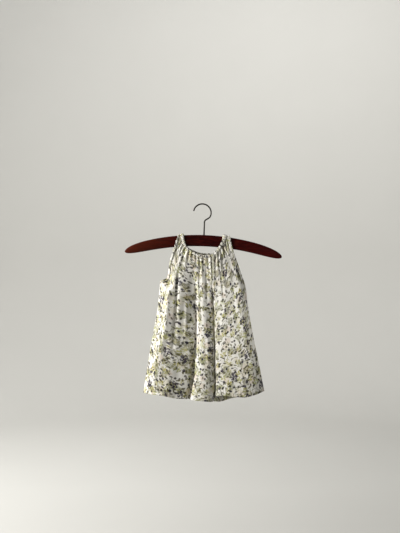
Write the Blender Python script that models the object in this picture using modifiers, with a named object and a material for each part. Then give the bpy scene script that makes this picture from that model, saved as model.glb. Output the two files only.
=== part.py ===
"""A child's sleeveless tunic dress, gathered at the neck, hung over an arched wooden hanger.

Units are metres, +Z is up and -Y is the front of the dress. The origin is the point of the
hanger's hook that rests on a peg. The hanger leans a little, as it does on the peg, and the
cloth hangs plumb from it. The front and the back are each one wall of cloth, worked out from
the neck edge, the hem, the two side edges and a table of folds.
"""

import math

import bmesh
import bpy
from mathutils import Matrix, Vector

MM = 0.001

# Hanger, in its own upright frame
LEAN = math.radians(2.05)
WIRE_RADIUS = 1.75 * MM
HOOK_RADIUS = 21.2 * MM
HOOK_TIP_ANGLE = 172
HOOK_LEAVE_ANGLE = -32
STEM_X = 6.0 * MM
STEM_BEND_BELOW_PEG = 38.5 * MM
STEM_BEND_RADIUS = 4.0 * MM
STEM_DEPTH_IN_BAR = 16.0 * MM
BAR_TOP = -73.3 * MM
BAR_HALF_SPAN = 190.0 * MM
BAR_HALF_HEIGHT = 13.8 * MM
BAR_ARC_RADIUS = 556.0 * MM
BAR_HALF_DEPTH = 6.5 * MM
BAR_EDGE_ROUND = 3.0 * MM
BAR_NOSE_POWER = 8
BAR_TAPER = 0.05
BORE_CLEARANCE = 0.3 * MM

# Cloth
CLOTH = 1.0 * MM
SEAM_GAP = 0.3 * MM
BAR_CLEARANCE = 0.8 * MM
WRAP_ROUND = 3.8 * MM
CASING_WIDTH = 8.0 * MM
CASING_THICKNESS = 2.9 * MM
CASING_RIPPLE = 0.5 * MM
BINDING_COLUMNS = 2
BINDING_THICKNESS = 0.7 * MM
BINDING_LIFT = 0.8 * MM
GATHERS = 18
GATHER_HEIGHT = 2.3 * MM
SOFT_FOLDS = 9
SOFT_FOLD_HEIGHT = 1.8 * MM
NECK_STAND_OFF = 4.0 * MM
COLUMNS = 4 * GATHERS

# Side edges of both panels: distance along the edge, then place in millimetres, right and up.
# The first two rows are the shoulder seam on top of the bar, which has no height of its own.
LEFT_EDGE = (
    (0.0, -46.0, None),
    (12.8, -57.2, None),
    (22.0, -60.8, -78.1),
    (44.0, -67.6, -99.8),
    (86.0, -80.1, -141.0),
    (122.0, -85.5, -176.5),
    (140.0, -101.9, -184.8),
    (162.0, -104.3, -206.5),
    (204.0, -108.5, -248.6),
    (277.0, -121.2, -319.6),
    (349.0, -133.6, -390.5),
    (413.0, -143.3, -454.4),
)
RIGHT_EDGE = (
    (0.0, 49.9, None),
    (12.8, 64.5, None),
    (22.0, 67.2, -81.0),
    (44.0, 71.3, -102.0),
    (86.0, 84.7, -142.0),
    (122.0, 95.5, -173.0),
    (140.0, 101.5, -189.6),
    (162.0, 105.5, -209.0),
    (204.0, 110.5, -250.0),
    (277.0, 122.5, -318.0),
    (349.0, 136.5, -386.0),
    (413.0, 149.3, -451.0),
)
EDGE_LENGTH = LEFT_EDGE[-1][0] * MM
SHOULDER_CORNER = 12.8 * MM
UNDERARM = 140.0 * MM
ROWS = (
    *(8.4, 12.8, 14.6, 16.3, 17.8, 19.3, 20.8, 22.3, 27.0, 38.0, 54.0),
    *(74.0, 98.0, 122.0, 140.0, 180.0, 230.0, 290.0, 350.0, 413.0),
)

# Neck edges from the left shoulder to the right one: place in millimetres, right and up.
FRONT_NECK = (
    (-46.0, None),
    (-43.6, -86.3),
    (-39.7, -98.6),
    (-34.5, -105.8),
    (-24.4, -112.6),
    (-9.0, -120.0),
    (5.0, -122.4),
    (19.0, -121.8),
    (29.5, -116.6),
    (36.1, -106.5),
    (40.6, -98.0),
    (44.8, -89.9),
    (49.9, None),
)
BACK_NECK = (
    (-46.0, None),
    (-43.8, -86.3),
    (-40.0, -97.5),
    (-34.0, -104.0),
    (-23.0, -110.0),
    (-9.0, -115.4),
    (5.0, -117.6),
    (19.0, -117.2),
    (30.5, -112.0),
    (37.0, -104.0),
    (41.2, -96.5),
    (45.2, -89.0),
    (49.9, None),
)

# Folds: share of the cut width, then right and depth halfway down, then right, depth and
# height at the hem, in millimetres. Depth is measured out from the side seams' plane.
FRONT_FOLDS = (
    (0.000, -116.0, 1.15, -143.3, 1.15, -454.4),
    (0.070, -101.5, 9.5, -128.0, 13.0, -455.6),
    (0.178, -88.0, 21.0, -97.0, 26.0, -457.5),
    (0.278, -50.0, 13.5, -63.0, 18.0, -465.5),
    (0.340, -25.5, 11.0, -41.5, 14.0, -467.5),
    (0.369, -18.4, 5.2, -34.1, 5.6, -468.5),
    (0.398, -12.5, 13.0, -26.5, 15.5, -470.0),
    (0.486, 2.2, 17.5, 1.0, 22.0, -471.5),
    (0.560, 23.0, 13.0, 23.5, 15.5, -474.0),
    (0.600, 28.5, 5.2, 29.5, 5.4, -468.0),
    (0.640, 32.5, 13.0, 33.5, 15.5, -459.5),
    (0.720, 54.2, 17.5, 58.0, 20.5, -459.6),
    (0.830, 82.0, 17.8, 95.0, 20.5, -462.6),
    (0.920, 103.5, 13.0, 125.0, 14.5, -458.0),
    (1.000, 116.5, 1.15, 149.3, 1.15, -451.0),
)
BACK_FOLDS = (
    (0.00, -116.0, 1.15, -143.3, 1.15, -454.4),
    (0.09, -98.0, 9.0, -124.0, 13.0, -457.0),
    (0.19, -72.0, 6.0, -92.0, 7.0, -462.0),
    (0.31, -44.0, 13.0, -56.0, 18.0, -468.0),
    (0.42, -16.0, 5.8, -22.0, 6.5, -472.0),
    (0.53, 10.0, 14.0, 10.0, 19.0, -477.0),
    (0.63, 34.0, 5.4, 38.0, 6.0, -478.0),
    (0.75, 60.0, 15.0, 70.0, 20.0, -473.0),
    (0.85, 84.0, 7.0, 99.0, 8.0, -464.0),
    (0.93, 102.0, 10.0, 124.0, 13.0, -458.0),
    (1.00, 116.5, 1.15, 149.3, 1.15, -451.0),
)


def smoothstep(value):
    value = min(max(value, 0.0), 1.0)
    return value * value * (3 - 2 * value)


def steady_curve(at, values):
    """A smooth curve through the values that never overshoots them, as a function."""
    steps = [b - a for a, b in zip(at, at[1:])]
    slopes = [(b - a) / step for a, b, step in zip(values, values[1:], steps)]
    tangents = [slopes[0]]
    for before, after in zip(slopes, slopes[1:]):
        same_way = before * after > 0
        tangents.append(2 * before * after / (before + after) if same_way else 0.0)
    tangents.append(slopes[-1])

    def curve(place):
        i = 0
        while i < len(steps) - 1 and place > at[i + 1]:
            i += 1
        u = min(max((place - at[i]) / steps[i], 0.0), 1.0)
        rise = values[i + 1] - values[i]
        first, last = tangents[i] * steps[i], tangents[i + 1] * steps[i]
        return values[i] + u * first + u * u * (3 * rise - 2 * first - last) + u**3 * (first + last - 2 * rise)

    return curve


def bar_top_at(x):
    """Height of the leaning bar's top edge, in the frame of the whole part."""
    along = x + abs(BAR_TOP) * math.sin(LEAN) - STEM_X
    radius = BAR_ARC_RADIUS - BAR_HALF_HEIGHT * 2
    return BAR_TOP - along * along / (2 * radius) - (along + STEM_X) * math.sin(LEAN)


FLAT_TOP = BAR_HALF_DEPTH + BAR_CLEARANCE - WRAP_ROUND
WRAP_END = FLAT_TOP + WRAP_ROUND * math.pi / 2


def drop_of(x, z):
    """Length of cloth from the middle of the bar's top, over its edge and down to height z."""
    if z is None:
        return SEAM_GAP / 2
    return WRAP_END + bar_top_at(x) + BAR_CLEARANCE - WRAP_ROUND - z


def hung(x, drop, out, side):
    """A point of cloth hung over the bar; out is its distance from the innermost layer."""
    top = bar_top_at(x) + BAR_CLEARANCE
    if drop < FLAT_TOP:
        return Vector((x, side * drop, top + out))
    if drop < WRAP_END:
        turn = (drop - FLAT_TOP) / WRAP_ROUND
        reach = WRAP_ROUND + out
        return Vector((x, side * (FLAT_TOP + reach * math.sin(turn)), top - WRAP_ROUND + reach * math.cos(turn)))
    return Vector((x, side * (FLAT_TOP + WRAP_ROUND + out), top - WRAP_ROUND - (drop - WRAP_END)))


class Panel:
    """The front or the back: share runs across the cut from left to right, along runs down it."""

    def __init__(self, side, neck, folds):
        self.side = side
        places = [(x * MM, drop_of(x * MM, z and z * MM)) for x, z in neck]
        lengths = [0.0]
        for a, b in zip(places, places[1:]):
            lengths.append(lengths[-1] + math.dist(a, b))
        shares = [length / lengths[-1] for length in lengths]
        self.neck_length = lengths[-1]
        self.neck_x = steady_curve(shares, [x for x, _ in places])
        self.neck_drop = steady_curve(shares, [drop for _, drop in places])
        shares, mid_x, mid_depth, hem_x, hem_depth, hem_z = zip(*folds)
        self.mid_x = steady_curve(shares, [x * MM for x in mid_x])
        self.mid_depth = steady_curve(shares, [depth * MM for depth in mid_depth])
        self.hem_x = steady_curve(shares, [x * MM for x in hem_x])
        self.hem_depth = steady_curve(shares, [depth * MM for depth in hem_depth])
        hem_drops = [drop_of(x * MM, z * MM) for x, z in zip(hem_x, hem_z)]
        self.hem_drop = steady_curve(shares, hem_drops)
        self.edges = []
        for edge in (LEFT_EDGE, RIGHT_EDGE):
            along = [row[0] * MM for row in edge]
            xs = [row[1] * MM for row in edge]
            drops = [drop_of(x, row[2] and row[2] * MM) for x, row in zip(xs, edge)]
            self.edges.append((steady_curve(along, xs), steady_curve(along, drops)))

    def plain_place(self, share, along):
        """Where the cloth would lie if the side edges ran straight to the hem."""
        t = along / EDGE_LENGTH
        start, end = self.neck_x(share), self.hem_x(share)
        bend = 2 * self.mid_x(share) - (start + end) / 2
        x = (1 - t) ** 2 * start + 2 * t * (1 - t) * bend + t * t * end
        return x, (1 - t) * self.neck_drop(share) + t * self.hem_drop(share)

    def place(self, share, along):
        """Right and drop of a point, with the true side edges faded in towards the sides."""
        x, drop = self.plain_place(share, along)
        for (edge_x, edge_drop), end, pull in zip(self.edges, (0.0, 1.0), ((1 - share) ** 4, share**4)):
            plain_x, plain_drop = self.plain_place(end, along)
            x += pull * (edge_x(along) - plain_x)
            drop += pull * (edge_drop(along) - plain_drop)
        return x, drop

    def smooth_depth(self, share, along, drop):
        """Depth of the outer face from the plane of the side seams, without the gathers."""
        t = along / EDGE_LENGTH
        over_bar = FLAT_TOP + WRAP_ROUND + CLOTH
        beside = (1 - 4 * share * (1 - share)) ** 2
        armhole = (over_bar - SEAM_GAP / 2 - CLOTH) * smoothstep((drop / MM - 32) / 81)
        swell = NECK_STAND_OFF * smoothstep((drop / MM - 28) / 45)
        top = over_bar + swell * (1 - beside) - armhole * beside
        lower = min(max(2 * t - 1, 0.0), 1.0)
        folds = (1 - lower) * self.mid_depth(share) + lower * self.hem_depth(share)
        blend = smoothstep((t - 0.11) / 0.42)
        return (1 - blend) * top + blend * folds

    def gathers(self, share, along):
        """Height of the fine gathers below the neck, and of the softer folds they run into."""
        t = along / EDGE_LENGTH
        inside = smoothstep(share / 0.06) * smoothstep((1 - share) / 0.06)
        fine = GATHER_HEIGHT * (1 - smoothstep((t - 0.03) / 0.30))
        soft = SOFT_FOLD_HEIGHT * smoothstep((t - 0.05) / 0.2) * (1 - smoothstep((t - 0.35) / 0.4))
        height = fine * (1 - math.cos(2 * math.pi * GATHERS * share)) / 2
        height += soft * (1 - math.cos(2 * math.pi * SOFT_FOLDS * share)) / 2
        return inside * height

    def point(self, share, along, lift=0.0, gathered=1.0):
        """A point of the outer face, moved out by lift."""
        x, drop = self.place(share, along)
        out = self.smooth_depth(share, along, drop) - FLAT_TOP - WRAP_ROUND
        out += gathered * self.gathers(share, along)
        return hung(x, drop, out + lift, self.side)


FRONT = Panel(-1, FRONT_NECK, FRONT_FOLDS)
BACK = Panel(1, BACK_NECK, BACK_FOLDS)


def material(name, colour, roughness, metallic=0.0):
    made = bpy.data.materials.new(name)
    made.use_nodes = True
    shader = made.node_tree.nodes["Principled BSDF"]
    shader.inputs["Base Color"].default_value = (*colour, 1.0)
    shader.inputs["Roughness"].default_value = roughness
    shader.inputs["Metallic"].default_value = metallic
    return made


def add_object(name, data, collection, finish):
    made = bpy.data.objects.new(name, data)
    data.materials.append(finish)
    collection.objects.link(made)
    return made


def sheet_grid(name, columns, rows, place, finish, collection, thickness, outwards):
    """An open grid bent to shape by place(column, row), with a wall thickness from Solidify."""
    mesh = bpy.data.meshes.new(name)
    work = bmesh.new()
    bmesh.ops.create_grid(work, x_segments=columns, y_segments=rows, size=0.5)
    for vert in work.verts:
        vert.co = place(vert.co.x + 0.5, vert.co.y + 0.5)
    if outwards < 0:
        bmesh.ops.reverse_faces(work, faces=work.faces)
    work.to_mesh(mesh)
    work.free()
    made = add_object(name, mesh, collection, finish)
    wall = made.modifiers.new("wall", "SOLIDIFY")
    wall.thickness = thickness
    wall.offset = -1
    mesh.shade_smooth()
    return made


def add_panel(name, panel, finish, collection):
    row_count = len(ROWS) - 1

    def place(u, v):
        return panel.point(u, ROWS[round(v * row_count)] * MM)

    return sheet_grid(name, COLUMNS, row_count, place, finish, collection, CLOTH, panel.side)


def add_tube(name, rings, finish, collection):
    """A closed solid skinned over rings of points, capped at both ends."""
    work = bmesh.new()
    loops = [[work.verts.new(point) for point in ring] for ring in rings]
    around = len(rings[0])
    for before, after in zip(loops, loops[1:]):
        for k in range(around):
            n = (k + 1) % around
            work.faces.new((before[k], before[n], after[n], after[k]))
    work.faces.new(loops[0])
    work.faces.new(list(reversed(loops[-1])))
    bmesh.ops.recalc_face_normals(work, faces=work.faces)
    mesh = bpy.data.meshes.new(name)
    work.to_mesh(mesh)
    work.free()
    mesh.shade_smooth()
    return add_object(name, mesh, collection, finish)


def add_binding(name, panel, right, finish, collection):
    """The bias strip on the outside of an armhole edge, from the shoulder to the underarm."""
    rings = []
    for row in ROWS:
        along = row * MM
        if not SHOULDER_CORNER <= along <= UNDERARM:
            continue
        shares = [column / COLUMNS for column in range(BINDING_COLUMNS + 1)]
        if right:
            shares = [1 - share for share in shares]
        under = [panel.point(share, along, BINDING_LIFT) for share in shares]
        over = [panel.point(share, along, BINDING_LIFT + BINDING_THICKNESS) for share in shares]
        rings.append(under + over[::-1])
    return add_tube(name, rings, finish, collection)


def add_casing(name, panel, finish, collection):
    """The gathered casing that holds the neck elastic, a flat tube along the neck edge."""
    around = 8
    rings = []
    for i in range(COLUMNS + 1):
        share = i / COLUMNS
        ripple = CASING_RIPPLE * (1 - math.cos(2 * math.pi * GATHERS * share)) / 2
        ring = []
        for k in range(around):
            angle = 2 * math.pi * (k + 0.5) / around
            along = CASING_WIDTH / 2 * (1 - math.cos(angle) * 1.08)
            rise = math.copysign(abs(math.sin(angle)) ** 0.7, math.sin(angle))
            lift = CASING_THICKNESS * (1 + rise) / 2 - CLOTH + ripple * max(rise, 0.0)
            ring.append(panel.point(share, max(along, 0.0), lift, 0.0))
        rings.append(ring)
    return add_tube(name, rings, finish, collection)


def bar_outline():
    """Points round the arched bar, in its own frame, clockwise from the left tip."""
    steps = 30
    upper, lower = [], []
    for i in range(steps + 1):
        reach = math.sin(math.pi * (i / steps - 0.5))
        x = BAR_HALF_SPAN * reach
        middle = BAR_TOP - BAR_HALF_HEIGHT - x * x / (2 * BAR_ARC_RADIUS)
        half = BAR_HALF_HEIGHT * (1 - BAR_TAPER * abs(reach)) * math.sqrt(max(1 - abs(reach) ** BAR_NOSE_POWER, 0.0))
        upper.append((x + STEM_X, middle + half))
        lower.append((x + STEM_X, middle - half))
    return upper + lower[-2:0:-1]


def add_bar(finish, collection, cutters, frame):
    outline = bpy.data.curves.new("bar outline", "CURVE")
    outline.dimensions = "2D"
    outline.fill_mode = "BOTH"
    outline.extrude = BAR_HALF_DEPTH - BAR_EDGE_ROUND
    outline.bevel_depth = BAR_EDGE_ROUND
    outline.bevel_resolution = 2
    outline.offset = -BAR_EDGE_ROUND
    spline = outline.splines.new("POLY")
    points = bar_outline()
    spline.points.add(len(points) - 1)
    for point, (x, z) in zip(spline.points, points):
        point.co = (x, z, 0, 1)
    spline.use_cyclic_u = True
    drawn = bpy.data.objects.new("bar outline", outline)
    collection.objects.link(drawn)
    drawn.rotation_euler = (math.radians(90), 0, 0)
    bpy.context.view_layer.update()
    seen = drawn.evaluated_get(bpy.context.evaluated_depsgraph_get())
    mesh = bpy.data.meshes.new_from_object(seen)
    mesh.transform(drawn.matrix_world)
    work = bmesh.new()
    work.from_mesh(mesh)
    bmesh.ops.remove_doubles(work, verts=work.verts, dist=0.01 * MM)
    bmesh.ops.recalc_face_normals(work, faces=work.faces)
    work.to_mesh(mesh)
    work.free()
    bpy.data.objects.remove(drawn)
    mesh.materials.clear()
    bar = add_object("hanger_bar", mesh, collection, finish)
    bar.parent = frame
    hole_depth = STEM_DEPTH_IN_BAR + 1.0 * MM
    bpy.ops.mesh.primitive_cylinder_add(vertices=16, radius=WIRE_RADIUS + BORE_CLEARANCE, depth=2 * hole_depth)
    cutter = bpy.context.object
    cutter.name = "stem hole"
    for owner in list(cutter.users_collection):
        owner.objects.unlink(cutter)
    cutters.objects.link(cutter)
    cutter.parent = frame
    cutter.location = (STEM_X, 0, BAR_TOP)
    cutter.hide_render = True
    cutter.display_type = "WIRE"
    cut = bar.modifiers.new("stem hole", "BOOLEAN")
    cut.operation = "DIFFERENCE"
    cut.object = cutter
    mesh.shade_smooth()
    mesh.set_sharp_from_angle(angle=math.radians(40))
    return bar


def hook_path():
    """Centreline of the hook's wire, from its tip over the peg and down into the bar."""
    centre_z = -(HOOK_RADIUS - WIRE_RADIUS)
    tip = math.radians(HOOK_TIP_ANGLE)
    leave = math.radians(HOOK_LEAVE_ANGLE)
    path = []
    steps = 22
    for i in range(steps + 1):
        angle = tip + (leave - tip) * i / steps
        path.append((HOOK_RADIUS * math.cos(angle), centre_z + HOOK_RADIUS * math.sin(angle)))
    bend = Vector((STEM_X, -STEM_BEND_BELOW_PEG))
    towards = (Vector(path[-1]) - bend).normalized()
    start, end = bend + towards * STEM_BEND_RADIUS, bend - Vector((0, STEM_BEND_RADIUS))
    for i in range(6):
        u = i / 5
        path.append(tuple((1 - u) ** 2 * start + 2 * u * (1 - u) * bend + u * u * end))
    path.append((STEM_X, BAR_TOP - STEM_DEPTH_IN_BAR))
    return path


def add_hook(finish, collection, frame):
    wire = bpy.data.curves.new("hanger_hook", "CURVE")
    wire.dimensions = "3D"
    wire.bevel_depth = WIRE_RADIUS
    wire.bevel_resolution = 2
    wire.use_fill_caps = True
    spline = wire.splines.new("POLY")
    path = hook_path()
    spline.points.add(len(path) - 1)
    for point, (x, z) in zip(spline.points, path):
        point.co = (x, 0, z, 1)
    spline.use_smooth = True
    hook = add_object("hanger_hook", wire, collection, finish)
    hook.parent = frame
    return hook


def main():
    for old in list(bpy.data.objects):
        bpy.data.objects.remove(old)
    dress = bpy.data.collections.new("tunic dress on hanger")
    cutters = bpy.data.collections.new("cutters")
    for collection in (dress, cutters):
        bpy.context.scene.collection.children.link(collection)
    frame = bpy.data.objects.new("leaning hanger frame", None)
    frame.rotation_euler = (0, LEAN, 0)
    dress.objects.link(frame)

    cotton = material("printed cotton", (0.80, 0.79, 0.72), 0.85)
    binding = material("bias strip of printed cotton", (0.80, 0.79, 0.72), 0.85)
    wood = material("varnished wood", (0.16, 0.03, 0.02), 0.35)
    steel = material("dark steel wire", (0.06, 0.057, 0.05), 0.40, 1.0)

    for name, panel in (("front", FRONT), ("back", BACK)):
        add_panel(f"{name}_panel", panel, cotton, dress)
        add_casing(f"neck_casing_{name}", panel, cotton, dress)
        add_binding(f"armhole_binding_left_{name}", panel, False, binding, dress)
        add_binding(f"armhole_binding_right_{name}", panel, True, binding, dress)
    add_bar(wood, dress, cutters, frame)
    add_hook(steel, dress, frame)


main()
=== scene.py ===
# %% [markdown]
# A tunic dress on a clothes hanger
#
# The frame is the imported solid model: a front, a back, a neck casing, armhole bindings and a
# hanger, with the right places and sizes but plain walls. This script lays a finer cloth over
# each panel, with gathers, creases, hem and stitches, and gives every surface its material.
# All lengths are in metres, +Z is up and the dress faces -Y.

# %% Load the frame
import math
import random
from functools import partialmethod

import bmesh
import bpy
from mathutils import Matrix, Vector, noise


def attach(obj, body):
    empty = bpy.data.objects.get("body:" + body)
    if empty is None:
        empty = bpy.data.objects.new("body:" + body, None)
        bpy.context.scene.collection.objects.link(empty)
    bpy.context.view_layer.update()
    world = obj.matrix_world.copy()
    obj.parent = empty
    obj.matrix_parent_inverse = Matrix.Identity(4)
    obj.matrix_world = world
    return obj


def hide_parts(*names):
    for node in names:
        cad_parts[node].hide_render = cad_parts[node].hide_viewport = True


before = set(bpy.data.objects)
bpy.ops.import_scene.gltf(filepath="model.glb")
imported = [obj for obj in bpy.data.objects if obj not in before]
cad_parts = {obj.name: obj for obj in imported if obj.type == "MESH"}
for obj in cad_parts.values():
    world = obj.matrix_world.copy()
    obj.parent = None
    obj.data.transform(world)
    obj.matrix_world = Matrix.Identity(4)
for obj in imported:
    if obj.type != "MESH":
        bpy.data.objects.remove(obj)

MM = 0.001
scene = bpy.context.scene
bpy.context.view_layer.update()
print("frame nodes:", sorted(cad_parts))

# %% [markdown]
# How the hanger stands
#
# The hook's inside top rests on a peg, and that point is the origin. The whole hanger leans two
# degrees, right side down, while the cloth hangs plumb. So the bar and the hook are shaped
# upright and then turned about the peg.

# %% The hanger's sizes
LEAN = math.radians(2.05)
LEANING = Matrix.Rotation(LEAN, 4, "Y")
WIRE_RADIUS = 1.75 * MM
HOOK_RADIUS = 21.2 * MM
HOOK_TIP_ANGLE = 172
HOOK_LEAVE_ANGLE = -32
STEM_X = 6.0 * MM
STEM_BEND_BELOW_PEG = 38.5 * MM
STEM_BEND_RADIUS = 4.0 * MM
STEM_DEPTH_IN_BAR = 16.0 * MM
BAR_TOP = -73.3 * MM
BAR_HALF_SPAN = 190.0 * MM
BAR_HALF_HEIGHT = 13.8 * MM
BAR_ARC_RADIUS = 556.0 * MM
BAR_HALF_DEPTH = 6.5 * MM
BAR_NOSE_POWER = 8
BAR_TAPER = 0.05
print("bar span, mm:", 2 * BAR_HALF_SPAN / MM)

# %% [markdown]
# Small tools for every piece
#
# Almost every piece here is a grid of points skinned with faces: a sheet is an open grid, and a
# tube is a grid whose rows close on themselves. One function makes both, with UVs in metres of
# flat cloth, so that a print keeps its size over folds. The rest are short sums for rings and
# smooth curves.

# %% Grids, tubes and rings


def object_of(work, name):
    """Turn finished bmesh work into an object of the scene."""
    mesh = bpy.data.meshes.new(name)
    work.to_mesh(mesh)
    work.free()
    made = bpy.data.objects.new(name, mesh)
    scene.collection.objects.link(made)
    return made


def skinned(name, rows, uvs=None, closed=False, caps=False):
    """An object skinned over rows of points; closed joins each row to its own start, and
    caps fill the first and the last row."""
    work = bmesh.new()
    layer = work.loops.layers.uv.new("cloth")
    grid = [[work.verts.new(point) for point in row] for row in rows]
    count = len(rows[0])
    for r in range(len(rows) - 1):
        for c in range(count if closed else count - 1):
            n = (c + 1) % count
            face = work.faces.new((grid[r][c], grid[r][n], grid[r + 1][n], grid[r + 1][c]))
            face.smooth = True
            if uvs:
                corners = ((r, c), (r, c + 1), (r + 1, c + 1), (r + 1, c))
                for loop, (row, column) in zip(face.loops, corners):
                    loop[layer].uv = uvs(row, column)
    if caps:
        work.faces.new(grid[0][::-1])
        work.faces.new(grid[-1])
    if closed:
        bmesh.ops.recalc_face_normals(work, faces=work.faces)
    return object_of(work, name)


def loft(name, node, rings, uvs):
    """A closed piece, skinned over rings, that takes the place of a solid."""
    made = skinned(name, rings, uvs, closed=True, caps=True)
    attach(made, "root")
    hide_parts(node)
    return made


def turns(count, shift=0.0):
    """Even angles once round a ring."""
    return [math.tau * (k + shift) / count for k in range(count)]


def signed_power(value, power):
    """A power that keeps the value's sign, which squares or rounds a ring's corners."""
    return math.copysign(abs(value) ** power, value)


def smoothstep(value):
    value = min(max(value, 0.0), 1.0)
    return value * value * (3 - 2 * value)


def fade(value, start, width):
    """0 before start, 1 from start + width on, and smooth between."""
    return smoothstep((value - start) / width)


def between(value, start, end, width):
    """0 outside start and end, rising to 1 over the width inside each."""
    return fade(value, start, width) * fade(end, value, width)


def steady_curve(at, values):
    """A smooth curve through the values that never overshoots them, as a function."""
    steps = [b - a for a, b in zip(at, at[1:])]
    slopes = [(b - a) / step for a, b, step in zip(values, values[1:], steps)]
    tangents = [slopes[0]]
    for before, after in zip(slopes, slopes[1:]):
        same_way = before * after > 0
        tangents.append(2 * before * after / (before + after) if same_way else 0.0)
    tangents.append(slopes[-1])

    def curve(place):
        i = 0
        while i < len(steps) - 1 and place > at[i + 1]:
            i += 1
        u = min(max((place - at[i]) / steps[i], 0.0), 1.0)
        rise = values[i + 1] - values[i]
        first, last = tangents[i] * steps[i], tangents[i + 1] * steps[i]
        bend = 3 * rise - 2 * first - last
        return values[i] + u * first + u * u * bend + u**3 * (first + last - 2 * rise)

    return curve


# %% [markdown]
# The cut of the dress
#
# The front and the back are each one piece of cotton: a gathered neck edge, two slanted edges
# that are a short shoulder, an armhole and a side seam, and a wide hem. A simulation would let
# the folds fall where they liked. Here the shape is blended between its four edges, and a table
# puts the big folds where they hang. The solid walls have the same edges and folds.

# %% Edges and folds of both panels
CLOTH = 1.0 * MM
SEAM_GAP = 0.3 * MM
BAR_CLEARANCE = 0.8 * MM
WRAP_ROUND = 3.8 * MM
NECK_STAND_OFF = 4.0 * MM
GATHERS = 18
SHOULDER_CORNER = 12.8 * MM
UNDERARM = 140.0 * MM

# Distance along the edge, right and up of the left edge, right and up of the right edge, in
# millimetres; None is the top of the bar.
SIDE_EDGES = (
    (0, -46, None, 49.9, None),
    (12.8, -57.2, None, 64.5, None),
    (22, -60.8, -78.1, 67.2, -81),
    (44, -67.6, -99.8, 71.3, -102),
    (86, -80.1, -141, 84.7, -142),
    (122, -85.5, -176.5, 95.5, -173),
    (140, -101.9, -184.8, 101.5, -189.6),
    (162, -104.3, -206.5, 105.5, -209),
    (204, -108.5, -248.6, 110.5, -250),
    (277, -121.2, -319.6, 122.5, -318),
    (349, -133.6, -390.5, 136.5, -386),
    (413, -143.3, -454.4, 149.3, -451),
)
EDGE_LENGTH = SIDE_EDGES[-1][0] * MM

# Neck edges from the left shoulder to the right one: right and up, in millimetres.
FRONT_NECK = (
    (-46, None), (-43.6, -86.3), (-39.7, -98.6), (-34.5, -105.8), (-24.4, -112.6),
    (-9, -120), (5, -122.4), (19, -121.8), (29.5, -116.6), (36.1, -106.5),
    (40.6, -98), (44.8, -89.9), (49.9, None),
)
BACK_NECK = (
    (-46, None), (-43.8, -86.3), (-40, -97.5), (-34, -104), (-23, -110),
    (-9, -115.4), (5, -117.6), (19, -117.2), (30.5, -112), (37, -104),
    (41.2, -96.5), (45.2, -89), (49.9, None),
)

# Share of the cut width, right and depth halfway down, then right, depth and up at the hem.
LEFT_SEAM = (0.0, -116, 1.15, -143.3, 1.15, -454.4)
RIGHT_SEAM = (1.0, 116.5, 1.15, 149.3, 1.15, -451)
FRONT_FOLDS = (
    LEFT_SEAM,
    (0.070, -101.5, 9.5, -128, 13, -455.6),
    (0.178, -88, 21, -97, 26, -457.5),
    (0.278, -50, 13.5, -63, 18, -465.5),
    (0.340, -25.5, 11, -41.5, 14, -467.5),
    (0.369, -18.4, 5.2, -34.1, 5.6, -468.5),
    (0.398, -12.5, 13, -26.5, 15.5, -470),
    (0.486, 2.2, 17.5, 1, 22, -471.5),
    (0.560, 23, 13, 23.5, 15.5, -474),
    (0.600, 28.5, 5.2, 29.5, 5.4, -468),
    (0.640, 32.5, 13, 33.5, 15.5, -459.5),
    (0.720, 54.2, 17.5, 58, 20.5, -459.6),
    (0.830, 82, 17.8, 95, 20.5, -462.6),
    (0.920, 103.5, 13, 125, 14.5, -458),
    RIGHT_SEAM,
)
BACK_FOLDS = (
    LEFT_SEAM,
    (0.09, -98, 9, -124, 13, -457),
    (0.19, -72, 6, -92, 7, -462),
    (0.31, -44, 13, -56, 18, -468),
    (0.42, -16, 5.8, -22, 6.5, -472),
    (0.53, 10, 14, 10, 19, -477),
    (0.63, 34, 5.4, 38, 6, -478),
    (0.75, 60, 15, 70, 20, -473),
    (0.85, 84, 7, 99, 8, -464),
    (0.93, 102, 10, 124, 13, -458),
    RIGHT_SEAM,
)
print("side edge, mm:", EDGE_LENGTH / MM)

# %% [markdown]
# From flat cloth to hung cloth
#
# A point of the cut has a share, 0 to 1 across from left to right, and a distance along the
# side edge from the shoulder down. It is placed as if the cloth were unrolled and then hung over
# the bar: flat on the top, round the corner and straight down. Folds and gathers only move a
# point out from the bar, so the cloth never crosses itself.

# %% Hang a point over the bar


def bar_top_at(x):
    """Height of the leaning bar's top edge."""
    along = x + abs(BAR_TOP) * math.sin(LEAN) - STEM_X
    radius = BAR_ARC_RADIUS - BAR_HALF_HEIGHT * 2
    return BAR_TOP - along * along / (2 * radius) - (along + STEM_X) * math.sin(LEAN)


FLAT_TOP = BAR_HALF_DEPTH + BAR_CLEARANCE - WRAP_ROUND
WRAP_END = FLAT_TOP + WRAP_ROUND * math.pi / 2


def drop_of(x, z):
    """Length of cloth from the middle of the bar's top down to height z."""
    if z is None:
        return SEAM_GAP / 2
    return WRAP_END + bar_top_at(x) + BAR_CLEARANCE - WRAP_ROUND - z


def unrolled(rows):
    """Right and drop in metres, from rows of right and up in millimetres."""
    return [(x * MM, drop_of(x * MM, z and z * MM)) for x, z in rows]


def hung(x, drop, out, side):
    """A point of cloth hung over the bar; out is its distance from the innermost layer."""
    top = bar_top_at(x) + BAR_CLEARANCE
    if drop < FLAT_TOP:
        return Vector((x, side * drop, top + out))
    if drop < WRAP_END:
        turn, reach = (drop - FLAT_TOP) / WRAP_ROUND, WRAP_ROUND + out
        y, z = FLAT_TOP + reach * math.sin(turn), top - WRAP_ROUND + reach * math.cos(turn)
    else:
        y, z = FLAT_TOP + WRAP_ROUND + out, top - WRAP_ROUND - (drop - WRAP_END)
    return Vector((x, side * y, z))


print("bar top over the stem, mm:", round(bar_top_at(STEM_X) / MM, 1))

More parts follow.
